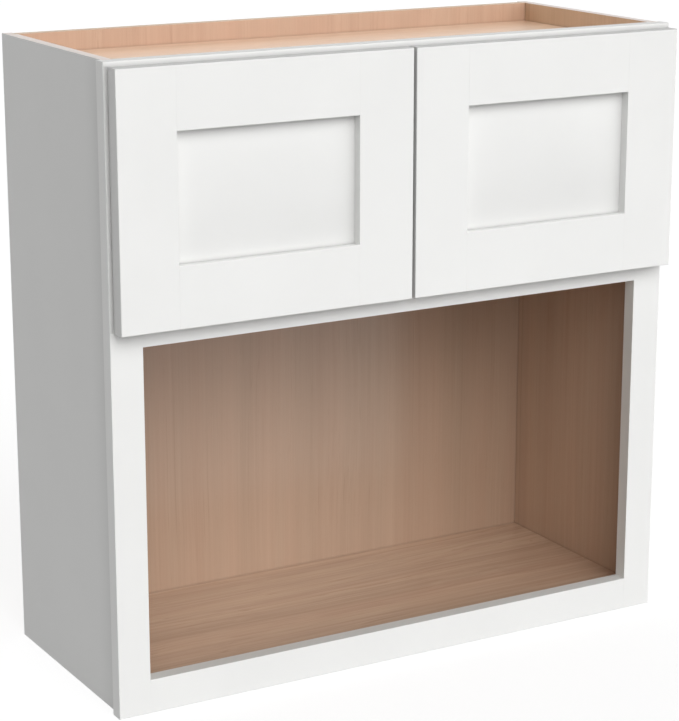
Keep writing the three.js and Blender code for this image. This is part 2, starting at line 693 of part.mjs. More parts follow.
// One hinge: its cup, pin and spring go with the door, and its arm, plate and screws stay on the frame
function buildHinge(side, level) {
  const hinge = new THREE.Group();
  const outward = side === 'right' ? 1 : -1;
  hinge.position.set(outward * pinPlace.x, pinPlace.y, hingeHeights[level]);
  const name = (piece) => `${side}_${level}_${piece}`;
  place(hinge, name('hinge_cup'), hingeCup(), nickel, side);
  place(hinge, name('hinge_pin'), hingePin(), zincPlate, side);
  place(hinge, name('hinge_spring'), closingSpring(), springSteel, side);
  place(hinge, name('hinge_arm'), hingeArm(), nickel, side);
  place(hinge, name('hinge_plate'), hingePlate(), nickel, side);
  for (const [end, where] of [[1, 'top'], [-1, 'bottom']]) {
    const plateScrew = place(hinge, name(`plate_screw_${where}`),
      screw(screwRadius, plateScrewLength, screwHeadRadius, screwHeadHeight), zincPlate, side);
    plateScrew.position.set(outward * (plateFace - seatGap), screwDepth, (end * plateScrewSpacing) / 2);
  }
  const adjuster = place(hinge, name('adjusting_screw'),
    screw(adjusterRadius, adjusterLength, adjusterHeadRadius, screwHeadHeight), zincPlate, side);
  adjuster.position.set(outward * (armLegCentre - armThickness / 2 - seatGap), adjusterDepth, 0);
  return hinge;
}

for (const side of ['left', 'right']) {
  cabinet.add(buildDoor(side));
  for (const level of ['upper', 'lower']) cabinet.add(buildHinge(side, level));
}

export default cabinet;
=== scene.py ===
import math
from contextlib import contextmanager
from functools import cache

import bpy
from bpy.props import FloatProperty, FloatVectorProperty, IntProperty, PointerProperty
from bpy.types import Operator, Panel, PropertyGroup
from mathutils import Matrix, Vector


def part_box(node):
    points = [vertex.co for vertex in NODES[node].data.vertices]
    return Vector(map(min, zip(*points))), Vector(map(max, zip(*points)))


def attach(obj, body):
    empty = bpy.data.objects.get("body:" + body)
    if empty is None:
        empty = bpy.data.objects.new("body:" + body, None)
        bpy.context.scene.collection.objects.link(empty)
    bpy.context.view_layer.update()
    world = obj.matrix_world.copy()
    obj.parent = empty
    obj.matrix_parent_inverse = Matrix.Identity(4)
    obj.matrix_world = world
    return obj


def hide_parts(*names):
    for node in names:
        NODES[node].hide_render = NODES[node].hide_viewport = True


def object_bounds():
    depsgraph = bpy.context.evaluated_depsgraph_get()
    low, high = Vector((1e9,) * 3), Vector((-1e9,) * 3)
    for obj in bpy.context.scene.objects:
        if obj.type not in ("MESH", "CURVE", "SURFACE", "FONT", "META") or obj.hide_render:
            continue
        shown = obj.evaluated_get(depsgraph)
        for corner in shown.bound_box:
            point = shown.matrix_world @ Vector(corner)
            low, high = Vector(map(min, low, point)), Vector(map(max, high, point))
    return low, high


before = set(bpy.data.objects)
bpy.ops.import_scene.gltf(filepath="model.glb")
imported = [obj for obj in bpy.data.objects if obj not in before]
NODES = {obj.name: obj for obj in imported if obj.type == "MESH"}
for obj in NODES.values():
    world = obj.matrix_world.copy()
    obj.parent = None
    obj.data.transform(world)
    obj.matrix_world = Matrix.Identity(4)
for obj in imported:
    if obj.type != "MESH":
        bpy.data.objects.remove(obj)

bl_info = {
    "name": "Microwave Cabinet",
    "version": (1, 0, 0),
    "blender": (4, 5, 0),
    "location": "3D View > Sidebar > Cabinet",
    "description": "Builds a wall-hung microwave cabinet: face frame and shaker doors on a plywood box",
    "category": "Object",
}

CAD_LOW, CAD_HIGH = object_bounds()
SIDES = ("left", "right")
CORNERS = [(side, level) for side in SIDES for level in ("upper", "lower")]  # a hinge and a bumper at each
AXES = "xyz"
MM = 0.001
MERGE_DISTANCE = 2e-6
ON_PLANE = 2e-5  # a point this near to a plane lies on it
FACING = 0.5  # a face looks along an axis when its normal has more than this of it
AT_EDGE = 0.5 * MM  # a face this near to the outermost one belongs to the edge
AT_SIDE = 0.1 * MM  # and on the frame's sides, without the eased corner
FLAT_WITHIN = 0.5  # faces that differ by fewer degrees become one

# Creases sharper than these angles stay sharp, in degrees
FLAT_ANGLE = 30.0
STAMPED_ANGLE = 35.0
TURNED_ANGLE = 40.0
BUMPER_ANGLE = 50.0

# Dark lines, and soft painted shade where less light falls in corners, recesses and behind the frame and the
# doors: the reach of each, and how much it darkens
# A dark joint line, with painted shade in the corner, where two boards of the box meet
VENEER_JOINT_AND_SHADE = (3.0 * MM, 0.30)  # where two boards of the box meet
SCRIBE_LINE = (2.4 * MM, 0.18)  # a fine one beside the box's rear corners
SCRIBE_INSET = 9.8 * MM
WALL_SHADE = (110.0 * MM, 0.45)  # on the bay's walls, behind the frame
SILL_SHADE = (60.0 * MM, 0.45)  # on the bay's floor, behind the sill
STEP_SHADE = (50.0 * MM, 0.13)  # on the painted sides, behind the frame
# Painted shade on the frame round the closed doors, which stays when they open
SHADE_ABOVE_DOORS = (6.5 * MM, 0.32)  # on the frame, round the closed doors
SHADE_BESIDE_DOORS = (5.0 * MM, 0.32)
DOOR_SIDE_SHADE = (6.0 * MM, 0.18)  # on a door's outer edge, towards the frame
RECESS_SHADES = {"x": (16.0 * MM, 0.08), "z": (16.0 * MM, 0.45)}  # on stiles and rails, round a panel
# Painted shade on a door's panel: a line where it meets its stiles and its lower rail, and a fade over its
# height
PANEL_EDGE_SHADE = (2.6 * MM, 0.10)  # where a panel meets its stiles
LEDGE_SHADE = (4.0 * MM, 0.24)  # and its lower rail
PANEL_SHADE_FADE = 0.14  # over a panel's whole height, from its lower edge up
# Colour of the painted shade and of the dark joint lines on the wood
JOINT_SHADE = (0.16, 0.10, 0.07)  # colour of the shade in a joint of the wood
PAINT_SHADE = (0.10, 0.10, 0.10)  # and of the paint

# How light the lacquer is painted where a face should get less or more light than the fronts: below 1 is
# painted shade, above 1 painted light
EVEN = (1.0, 1.0, 1.0)
# Painted shade on the doors' meeting edges, top edges and outer sides
MEETING_EDGE = (0.70, 0.70, 0.70)
DOOR_TOP = (0.63, 0.63, 0.63)
DOOR_SIDE = (0.95, 0.95, 0.95)
# Painted shade on the sill, inside the bay
SILL = (0.735, 0.746, 0.742)  # this and the jamb are set against the warm light of the wood
JAMB = (0.970, 0.992, 0.988)
# Painted shade on the frame's top face, and painted light on its outer sides
FRAME_TOP = (0.84, 0.84, 0.84)
FRAME_SIDE = (1.06, 1.06, 1.06)
# The sides' top edges are also painted darker as shade
BOARD_TOP = (0.88, 0.80, 0.77)  # the wood shows through on the sides' top edges

# Each veneer: how light it is, its grain's contrast, its place on the sheet and how far the grain wanders
# The ', top' copies of the sides and the back, above the top panel, are painted lighter than in the bay as
# light, and the top panel lighter still as light from above
VENEERS = {
    "sides": ((0.92, 0.92, 0.92), 0.80, 0.9, 0.016),
    "sides, top": ((1.09, 1.08, 0.99), 0.80, 0.9, 0.016),
    "back": ((0.85, 0.837, 0.832), 0.62, 1.11, 0.016),
    "back, top": ((1.00, 0.94, 0.936), 0.62, 1.11, 0.016),
    "top panel": ((1.65, 1.70, 1.70), 1.0, 0.37, 0.045),
    "cupboard shelf": ((1.0, 1.0, 1.0), 1.0, 1.11, 0.045),
    "bottom panel": ((0.97, 0.97, 0.97), 2.2, 0.74, 0.045),
}

# The layers of the maple's grain: repeats per metre across, across and along it, then detail and roughness
GRAIN = {
    "wander": ((5.0, 5.0, 2.2), 2.0, 0.45),
    "bands": ((26.0, 26.0, 0.55), 2.0, 0.55),
    "streaks": ((120.0, 120.0, 1.1), 3.0, 0.6),
    "fibres": ((520.0, 520.0, 5.0), 2.0, 0.6),
    "flecks": ((900.0, 900.0, 65.0), 1.0, 0.5),
    "veins": ((210.0, 210.0, 0.9), 0.0, 0.5),
    "fade": ((16.0, 16.0, 3.6), 1.0, 0.5),
    "blush": ((22.0, 22.0, 1.1), 2.0, 0.5),
}
BAND_SHARE, STREAK_SHARE, FIBRE_SHARE = 0.34, 0.36, 0.34
VEIN_LEVEL, VEIN_WIDTH, VEIN_DEPTH = 0.68, 0.022, 0.42
BLUSH_COOL, BLUSH_WARM = (0.982, 1.002, 1.004), (1.017, 0.996, 0.992)
FLECK_DEPTH = 0.16
FLECK_COLOUR = (0.30, 0.16, 0.09)
GLUE_COLOUR = (0.28, 0.17, 0.10)

# The hinges' turned and wound pieces and the bumpers, in millimetres
TURNED_SIDES = 32
SEAM = 0.002  # points of a turned form that are nearer than this are merged
PIN_RADIUS = 1.1
PIN_LENGTH = 14.4
PIN_END = ((0.0, 1.0), (0.72, 1.0), (0.93, 0.985), (1.0, 0.96))  # shares of the radius and of half the length
SPRING_RADIUS = 1.8  # the pin to the middle of the wire
SPRING_PITCH = 1.26
SPRING_TURNS = 4
SPRING_LEG = 8.5
WIRE_RADIUS = 0.4
WIRE_SIDES = 14
COIL_STEPS = 28
WOOD_SCREW = {"radius": 1.6, "root": 1.12, "pitch": 1.5, "length": 23.9, "head_radius": 3.6, "point": 3.2}
MACHINE_SCREW = {"radius": 2.0, "root": 1.7, "pitch": 0.7, "length": 6.4, "head_radius": 3.4, "point": 0.6}
THREAD = (0.34, 0.46, 0.8)  # shares of the pitch at which its crest starts, ends and has run out
THREAD_END = -0.8  # the thread stops this far under the head
NECK = -0.5
HEAD_HEIGHT = 2.0
# The head's outline, and the length, width and height of the cross in it, as shares of its radius and height
HEAD_DOME = ((1.0, 0.10), (1.0, 0.26), (0.965, 0.45), (0.89, 0.62), (0.77, 0.77), (0.60, 0.885),
             (0.36, 0.965), (0.0, 1.0))
CROSS_SIZE = (1.24, 0.27, 1.2)
CROSS_TAPER = 0.62
CROSS_TAPER_HEIGHT = 0.4
BUMPER_SIDES = 48
BUMPER_FOOT = ((0.0, 0.0), (4.2, 0.0), (4.44, 0.08), (4.5, 0.25), (4.5, 0.85), (4.46, 1.1))
BUMPER_DOME = 1.55  # height of the dome over the foot

# Each lamp's azimuth from the front towards the right, its elevation and how wide it is, in degrees
LAMPS = {
    "key": (-20.0, 30.0, 50.0),
    "high": (0.0, 43.0, 42.0),
    "fill": (41.0, 15.0, 60.0),
    "rim": (-150.0, 25.0, 60.0),
    "back": (172.0, 30.0, 60.0),
}
LAMP_DISTANCE = 4.0
SENSOR_WIDTH = 36.0
FLOOR_GLOW = 0.80  # how bright the floor is to the camera before the lamps add to it


# ------ settings


def colour(name, description, default):
    return FloatVectorProperty(name=name, description=description, default=default, subtype="COLOR",
                               size=3, min=0.0, max=1.0)


def length(name, description, default):
    return FloatProperty(name=name, description=description, default=default, min=0.0, unit="LENGTH")


def strength(name, description, default):
    return FloatProperty(name=name, description=description, default=default, min=0.0)


class CabinetSizes(PropertyGroup):
    frame_arris: length("Frame arris", "Eased edge round the openings of the face frame", 0.5 * MM)
    door_arris: length("Door arris", "Eased edge round the panel of a door", 0.6 * MM)
    board_arris: length("Board arris", "Sanded edge of the plywood", 0.35 * MM)
    metal_arris: length("Metal arris", "Rounded edge of the stamped hinge parts", 0.16 * MM)
    plies: IntProperty(name="Plies", description="Layers seen on a plywood edge", default=9, min=3, max=21)


class CabinetColours(PropertyGroup):
    paint: colour("Paint", "Satin lacquer of the frame, the doors and the outer sides", (0.898, 0.898, 0.885))
    maple_light: colour("Maple, light", "Lightest streaks of the veneer", (0.605, 0.432, 0.312))
    maple_dark: colour("Maple, dark", "Darkest streaks of the veneer", (0.468, 0.312, 0.218))
    core_light: colour("Core, light", "Plies that run along the edge", (0.78, 0.64, 0.50))
    core_dark: colour("Core, dark", "Plies that end at the edge", (0.56, 0.42, 0.30))
    nickel: colour("Nickel", "Plated hinge parts", (0.62, 0.61, 0.58))
    zinc: colour("Zinc", "Screws and pins", (0.66, 0.66, 0.62))
    spring_steel: colour("Spring steel", "Closing springs", (0.30, 0.29, 0.28))
    rubber: colour("Bumper", "Clear silicone of the door bumpers", (0.86, 0.86, 0.82))


class CabinetStage(PropertyGroup):
    floor_radius: length("Floor radius", "Half the width of the floor", 30.0)
    floor_colour: colour("Floor", "Pale floor, as the lamps light it", (0.28, 0.28, 0.28))
    ambient: strength("Ambient", "Strength of the even light of the room", 0.02)
    key_strength: strength("Key lamp", "Strength of the soft light from the front left", 1.39)
    high_strength: strength("High lamp", "Strength of the high light from the front", 0.69)
    fill_strength: strength("Fill lamp", "Strength of the low light from the front right", 1.74)
    rim_strength: strength("Rim lamp", "Strength of the light from the back left", 1.02)
    back_strength: strength("Back lamp", "Strength of the light from behind", 0.70)
    lens: FloatProperty(name="Lens", description="Focal length for a 36 mm sensor", default=113.22, min=1.0,
                        unit="CAMERA")
    camera_place: FloatVectorProperty(name="Camera", description="Place of the camera",
                                      default=(-1.37186, -2.37747, 1.07307), subtype="TRANSLATION", size=3)
    camera_turn: FloatVectorProperty(name="Camera turn", description="Rotation of the camera",
                                     default=(math.radians(75.211), 0.0, math.radians(-29.862)),
                                     subtype="EULER", size=3)


# ------ material building


class Nodes:
    """A node tree that is built from left to right."""

    def __init__(self, tree):
        self.tree = tree

    def add(self, kind, inputs=None, **settings):
        node = self.tree.nodes.new(kind)
        for name, value in settings.items():
            setattr(node, name, value)
        for name, value in (inputs or {}).items():
            self.feed(node.inputs[name], value)
        return node

    def feed(self, socket, value):
        """Links the socket to another one, or sets its value."""
        if isinstance(value, bpy.types.NodeSocket):
            self.tree.links.new(value, socket)
        else:
            socket.default_value = value

    def link(self, source, target):
        self.tree.links.new(source, target)

    def maths(self, operation, first, second=0.0, clamp=False):
        node = self.add("ShaderNodeMath", {0: first, 1: second}, operation=operation, use_clamp=clamp)
        return node.outputs[0]

    def plus(self, first, second):
        return self.maths("ADD", first, second)

    def minus(self, first, second):
        return self.maths("SUBTRACT", first, second)

    def times(self, first, second):
        return self.maths("MULTIPLY", first, second)

    def stretched(self, vector, scale):
        """The vector with each axis scaled, which stretches a pattern along the small ones."""
        node = self.add("ShaderNodeVectorMath", {0: vector, 1: scale}, operation="MULTIPLY")
        return node.outputs[0]

    def noise(self, vector, scale=1.0, detail=2.0, roughness=0.5):
        node = self.add("ShaderNodeTexNoise",
                        {"Vector": vector, "Scale": scale, "Detail": detail, "Roughness": roughness})
        return node.outputs["Fac"]

    def spread(self, value, low, high, to_low=0.0, to_high=1.0):
        """A value's range mapped to another, with the ends held."""
        node = self.add("ShaderNodeMapRange", {"Value": value, "From Min": low, "From Max": high,
                                               "To Min": to_low, "To Max": to_high})
        return node.outputs["Result"]

    def blend(self, factor, first, second, how="MIX"):
        node = self.add("ShaderNodeMix", data_type="RGBA", blend_type=how)
        for socket, value in zip((node.inputs[0], node.inputs[6], node.inputs[7]), (factor, first, second)):
            self.feed(socket, value)
        return node.outputs[2]

    def veiled(self, tint, factor):
        """A colour times a single value."""
        grey = self.add("ShaderNodeCombineXYZ", {"X": factor, "Y": factor, "Z": factor}).outputs[0]
        return self.blend(1.0, tint, grey, "MULTIPLY")


def rgba(tint, share=EVEN):
    """A colour for a socket, with each channel scaled by its share."""
    return (*(part * by for part, by in zip(tint, share)), 1.0)


def shared_group(name, inputs, outputs):
    """An empty node group with its sockets: its node builder, and what it is given and gives."""
    group = bpy.data.node_groups.new(name, "ShaderNodeTree")
    for label, kind, default in inputs:
        socket = group.interface.new_socket(label, in_out="INPUT", socket_type="NodeSocket" + kind)
        if default is not None:
            socket.default_value = default
    for label, kind in outputs:
        group.interface.new_socket(label, in_out="OUTPUT", socket_type="NodeSocket" + kind)
    nodes = Nodes(group)
    return nodes, nodes.add("NodeGroupInput").outputs, nodes.add("NodeGroupOutput").inputs


@cache
def maple_grain_group():
    """Plain-sliced maple: long streaks, fine fibres and short dark flecks along the grain."""
    nodes, given, out = shared_group(
        "Maple grain",
        [("Vector", "Vector", None), ("Light", "Color", None), ("Dark", "Color", None),
         ("Contrast", "Float", 1.0), ("Wander", "Float", 0.016)],
        [("Color", "Color"), ("Streaks", "Float"), ("Height", "Float")])

    def layer(name, vector):
        scale, detail, roughness = GRAIN[name]
        return nodes.noise(nodes.stretched(vector, scale), detail=detail, roughness=roughness)

    # The vector arrives in metres, with the grain along its Z. A slow wander keeps the streaks from being
    # ruled lines, and they fade in and out along the board.
    shift = nodes.times(nodes.minus(layer("wander", given["Vector"]), 0.5), given["Wander"])
    offset = nodes.add("ShaderNodeCombineXYZ", {"X": shift, "Y": shift}).outputs[0]
    swayed = nodes.add("ShaderNodeVectorMath", {0: given["Vector"], 1: offset}).outputs[0]
    broad = nodes.spread(layer("bands", swayed), 0.30, 0.70, -0.5, 0.5)
    narrow = nodes.spread(layer("streaks", swayed), 0.30, 0.70, -0.5, 0.5)
    fine = nodes.spread(layer("fibres", swayed), 0.25, 0.75, -0.5, 0.5)
    off_vein = nodes.maths("ABSOLUTE", nodes.minus(layer("veins", swayed), VEIN_LEVEL))
    vein = nodes.spread(off_vein, 0.0, VEIN_WIDTH, VEIN_DEPTH, 0.0)
    fade = nodes.spread(layer("fade", swayed), 0.38, 0.62, 0.45, 1.45)
    streaky = nodes.minus(nodes.times(narrow, STREAK_SHARE), vein)
    summed = nodes.plus(nodes.times(broad, BAND_SHARE), nodes.times(streaky, fade))
    summed = nodes.plus(summed, nodes.times(fine, FIBRE_SHARE))
    tone = nodes.maths("ADD", nodes.times(summed, given["Contrast"]), 0.5, clamp=True)
    base = nodes.blend(tone, given["Dark"], given["Light"])
    blush = nodes.blend(nodes.spread(layer("blush", swayed), 0.33, 0.67), rgba(BLUSH_COOL), rgba(BLUSH_WARM))
    tinted = nodes.blend(1.0, base, blush, "MULTIPLY")
    fleck = nodes.spread(layer("flecks", swayed), 0.66, 0.80, 0.0, FLECK_DEPTH)
    nodes.link(nodes.blend(fleck, tinted, rgba(FLECK_COLOUR)), out["Color"])
    nodes.link(tone, out["Streaks"])
    nodes.link(nodes.minus(fine, fleck), out["Height"])
    return nodes.tree


@cache
def lacquer_group():
    """Sprayed satin lacquer: a faint unevenness of tone and gloss over an orange-peel surface."""
    nodes, given, out = shared_group(
        "Sprayed lacquer",
        [("Vector", "Vector", None), ("Color", "Color", None), ("Gloss", "Float", 0.52),
         ("Unevenness", "Float", 0.03)],
        [("Color", "Color"), ("Roughness", "Float"), ("Height", "Float")])
    cloud = nodes.spread(nodes.noise(given["Vector"], scale=7.0, detail=3.0), 0.3, 0.7, -1.0, 1.0)
    peel = nodes.noise(given["Vector"], scale=520.0, detail=2.0, roughness=0.55)
    grain = nodes.noise(nodes.stretched(given["Vector"], (160.0, 160.0, 160.0)), detail=1.0)
    veil = nodes.plus(1.0, nodes.times(cloud, nodes.times(given["Unevenness"], 0.5)))
    nodes.link(nodes.veiled(given["Color"], veil), out["Color"])
    gloss = nodes.plus(given["Gloss"], nodes.times(cloud, given["Unevenness"]))
    nodes.link(gloss, out["Roughness"])
    nodes.link(nodes.plus(peel, nodes.times(grain, 0.4)), out["Height"])
    return nodes.tree


@cache
def shade_line_group():
    """The mask of a dark line along a place on one axis, which paints shade and joint lines: 1 at the place,
    falling to 0 at the line's width.
    """
    nodes, given, out = shared_group(
        "Joint line",
        [("Coordinate", "Float", 0.0), ("Place", "Float", 0.0), ("Width", "Float", 2.0 * MM)],
        [("Mask", "Float")])
    away = nodes.maths("ABSOLUTE", nodes.minus(given["Coordinate"], given["Place"]))
    near = nodes.maths("SUBTRACT", 1.0, nodes.maths("DIVIDE", away, given["Width"]), clamp=True)
    nodes.link(nodes.maths("POWER", near, 1.5), out["Mask"])
    return nodes.tree


def darkened_at(nodes, place, base, joints, dark):
    """The colour, darkened along lines of painted shade and dark joint lines. Each line has an axis, its
    place on it, its reach, how much it darkens and the stretches of other axes that it keeps to. A place on x
    counts on both sides of the middle."""
    parts = nodes.add("ShaderNodeSeparateXYZ", {0: place}).outputs
    for axis, value, reach, darkening, *stretches in joints:
        coordinate = nodes.maths("ABSOLUTE", parts[0]) if axis == "x" else parts[AXES.index(axis)]
        line = nodes.add("ShaderNodeGroup", {"Coordinate": coordinate, "Place": value, "Width": reach},
                         node_tree=shade_line_group())
        shade = nodes.times(line.outputs["Mask"], darkening)
        for other, low, high in stretches:
            middle, half = (low + high) / 2.0, (high - low) / 2.0
            within = nodes.add("ShaderNodeMath", {0: parts[AXES.index(other)], 1: middle, 2: half},
                               operation="COMPARE")
            shade = nodes.times(shade, within.outputs[0])
        base = nodes.blend(shade, base, rgba(dark))
    return base


def new_material(name, record_colour, constants):
    """A material: with it come its node builder, its shader's sockets and the object's own coordinates."""
    material = bpy.data.materials.new(name)
    material.use_nodes = True
    material.diffuse_color = record_colour
    nodes = Nodes(material.node_tree)
    shader = material.node_tree.nodes["Principled BSDF"].inputs
    for label, value in constants.items():
        shader[label].default_value = value
    return material, nodes, shader, nodes.add("ShaderNodeTexCoord").outputs["Object"]


def bump(nodes, shader, height, distance, strength):
    node = nodes.add("ShaderNodeBump", {"Height": height, "Distance": distance, "Strength": strength})
    nodes.link(node.outputs["Normal"], shader["Normal"])


# ------ materials


@cache
def white_lacquer(part="", joints=(), lightness=EVEN):
    """Satin white lacquer over a sanded primer, with lines of painted shade along the given places. A
    lightness below 1 paints shade, and above 1 paints light, on faces that should get less or more light than
    the fronts."""
    tint = rgba(bpy.context.scene.cabinet_colours.paint, lightness)
    name = f"White lacquer, {part}" if part else "White lacquer"
    material, nodes, shader, place = new_material(name, tint, {"Specular IOR Level": 0.25})
    group = nodes.add("ShaderNodeGroup", {"Vector": place, "Color": tint}, node_tree=lacquer_group())
    lacquer = group.outputs
    nodes.link(darkened_at(nodes, place, lacquer["Color"], joints, PAINT_SHADE), shader["Base Color"])
    nodes.link(lacquer["Roughness"], shader["Roughness"])
    bump(nodes, shader, lacquer["Height"], 0.02 * MM, 0.35)
    return material


@cache
def maple_veneer(board, grain, joints):
    """Clear-coated maple veneer with its grain along an axis."""
    tone, contrast, sheet, wander = VENEERS[board]
    colours = bpy.context.scene.cabinet_colours
    material, nodes, shader, place = new_material(f"Maple veneer, {board}", rgba(colours.maple_light),
                                                  {"Coat Weight": 1.0, "Coat Roughness": 0.25})
    turn = math.radians(90.0) if grain == "x" else 0.0
    on_sheet = nodes.add("ShaderNodeMapping", {"Vector": place, "Rotation": (0.0, turn, 0.0),
                                               "Location": (sheet, 0.7 * sheet, 0.0)}, vector_type="TEXTURE")
    veneer = nodes.add("ShaderNodeGroup",
                       {"Vector": on_sheet.outputs[0], "Light": rgba(colours.maple_light, tone),
                        "Dark": rgba(colours.maple_dark, tone), "Contrast": contrast, "Wander": wander},
                       node_tree=maple_grain_group()).outputs
    nodes.link(darkened_at(nodes, place, veneer["Color"], joints, JOINT_SHADE), shader["Base Color"])
    nodes.link(nodes.spread(veneer["Streaks"], 0.0, 1.0, 0.50, 0.40), shader["Roughness"])
    bump(nodes, shader, veneer["Height"], 0.05 * MM, 0.4)
    return material


@cache
def plywood_edge():
    """Sanded plywood edge: layers across the board's thickness, which its depth attribute gives."""
    colours = bpy.context.scene.cabinet_colours
    plies = float(bpy.context.scene.cabinet_sizes.plies)
    material, nodes, shader, place = new_material("Plywood edge", rgba(colours.core_light),
                                                  {"Roughness": 0.62})
    depth = nodes.add("ShaderNodeAttribute", attribute_name="board_depth").outputs["Fac"]
    ripple = nodes.times(nodes.minus(nodes.noise(place, scale=30.0), 0.5), 0.02)
    level = nodes.times(nodes.plus(depth, ripple), plies)
    even = nodes.maths("LESS_THAN", nodes.maths("MODULO", level, 2.0), 1.0)
    within = nodes.maths("ABSOLUTE", nodes.minus(nodes.maths("FRACT", level), 0.5))
    glue = nodes.spread(within, 0.44, 0.5, 0.0, 0.5)
    fuzz = nodes.noise(place, scale=900.0)
    layer = nodes.blend(even, rgba(colours.core_dark), rgba(colours.core_light))
    mottled = nodes.veiled(layer, nodes.spread(fuzz, 0.3, 0.7, 0.85, 1.1))
    nodes.link(nodes.blend(glue, mottled, rgba(GLUE_COLOUR)), shader["Base Color"])
    bump(nodes, shader, nodes.minus(fuzz, glue), 0.08 * MM, 0.5)
    return material


@cache
def plated_metal(name, tint, roughness, scratch):
    """Plated or drawn metal with an uneven sheen and fine rolling marks. Scratch is how close they lie."""
    plating = rgba(tint)
    material, nodes, shader, place = new_material(name, plating, {"Metallic": 1.0})
    marks = nodes.noise(nodes.stretched(place, (scratch, scratch, 150.0)))
    smudge = nodes.noise(place, scale=90.0)
    nodes.link(nodes.veiled(plating, nodes.spread(smudge, 0.3, 0.7, 0.9, 1.05)), shader["Base Color"])
    gloss = nodes.spread(nodes.plus(marks, smudge), 0.6, 1.4, roughness - 0.06, roughness + 0.08)
    nodes.link(gloss, shader["Roughness"])
    bump(nodes, shader, marks, 0.01 * MM, 0.3)
    return material


@cache
def clear_silicone():
    """Soft translucent silicone."""
    tint = bpy.context.scene.cabinet_colours.rubber
    material, nodes, shader, place = new_material("Clear silicone", rgba(tint),
                                                  {"Transmission Weight": 0.55, "IOR": 1.42})
    haze = nodes.noise(place, scale=400.0)
    nodes.link(nodes.blend(haze, rgba(tint), rgba(tint, (0.94, 0.94, 0.94))), shader["Base Color"])
    nodes.link(nodes.spread(haze, 0.3, 0.7, 0.28, 0.40), shader["Roughness"])
    return material


# ------ mesh working


def only(piece):
    """Selects this object and nothing else, and makes it active."""
    bpy.ops.object.select_all(action="DESELECT")
    piece.select_set(True)
    bpy.context.view_layer.objects.active = piece


@contextmanager
def editing(piece, kind=None):
    """Edit mode for this piece alone: with all of it selected or, if a kind of element is given, with the
    selection that was made before. Nothing stays selected."""
    only(piece)
    bpy.ops.object.mode_set(mode="EDIT")
    if kind:
        bpy.ops.mesh.select_mode(type=kind)
    else:
        bpy.ops.mesh.select_all(action="SELECT")
    yield
    bpy.ops.mesh.select_all(action="DESELECT")
    bpy.ops.object.mode_set(mode="OBJECT")


def select_only(mesh, kind, chosen):
    """Selects the vertices or edges that chosen(element) picks, and no other element."""
    for elements in (mesh.vertices, mesh.edges, mesh.polygons):
        for element in elements:
            element.select = False
    for element in getattr(mesh, kind):
        element.select = chosen(element)


def copied_piece(node):
    """A merged copy of one piece of the frame, with its flat faces made whole."""
    mesh = NODES[node].data.copy()
    mesh.materials.clear()
    piece = bpy.data.objects.new("finished_" + node, mesh)
    bpy.context.scene.collection.objects.link(piece)
    only(piece)
    bpy.ops.mesh.customdata_custom_splitnormals_clear()
    with editing(piece):
        bpy.ops.mesh.remove_doubles(threshold=MERGE_DISTANCE)
        bpy.ops.mesh.dissolve_limited(angle_limit=math.radians(FLAT_WITHIN))
    return piece


def cut_at(piece, *heights):
    """An edge loop round the piece at each height."""
    for height in heights:
        with editing(piece):
            bpy.ops.mesh.bisect(plane_co=(0.0, 0.0, height), plane_no=(0.0, 0.0, 1.0))


def on_plane(point, plane):
    axis, value = plane
    return abs(point[AXES.index(axis)] - value) < ON_PLANE


def ease(piece, planes, width, between=None):
    """Bevels the edges where two of the planes meet. Between limits them to a stretch of heights."""
    vertices = piece.data.vertices

    def sharp(edge):
        ends = [vertices[i].co for i in edge.vertices]
        shared = sum(all(on_plane(end, plane) for end in ends) for plane in planes)
        inside = not between or between[0] < (ends[0].z + ends[1].z) / 2 < between[1]
        return shared >= 2 and inside

    select_only(piece.data, "edges", sharp)
    with editing(piece, "EDGE"):
        bpy.ops.mesh.bevel(offset=width, segments=2, affect="EDGES", clamp_overlap=True)


def apply_modifier(piece, kind, **settings):
    only(piece)
    modifier = piece.modifiers.new(kind.title(), kind)
    for name, value in settings.items():
        setattr(modifier, name, value)
    bpy.ops.object.modifier_apply(modifier=modifier.name)


def mark_depth(piece, axis):
    """Stores how deep each point lies in the board, from 0 at one face to 1 at the other."""
    place = AXES.index(axis)
    points = [vertex.co[place] for vertex in piece.data.vertices]
    low, high = min(points), max(points)
    depth = piece.data.attributes.new("board_depth", "FLOAT", "POINT")
    depth.data.foreach_set("value", [(point - low) / (high - low) for point in points])


def finish(piece, node, body, materials, choose=lambda normal, centre: 0, angle=FLAT_ANGLE):
    """Gives each face the material that choose(normal, centre) names, and smooths the small rounded faces.
    The piece then stands in for its node, which is hidden, and moves with its body."""
    for material in materials:
        piece.data.materials.append(material)
    for polygon in piece.data.polygons:
        polygon.material_index = choose(polygon.normal, polygon.center)
    only(piece)
    bpy.ops.object.shade_smooth_by_angle(angle=math.radians(angle))
    apply_modifier(piece, "WEIGHTED_NORMAL", keep_sharp=True, weight=100)
    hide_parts(node)
    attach(piece, body)


# ------ the plywood


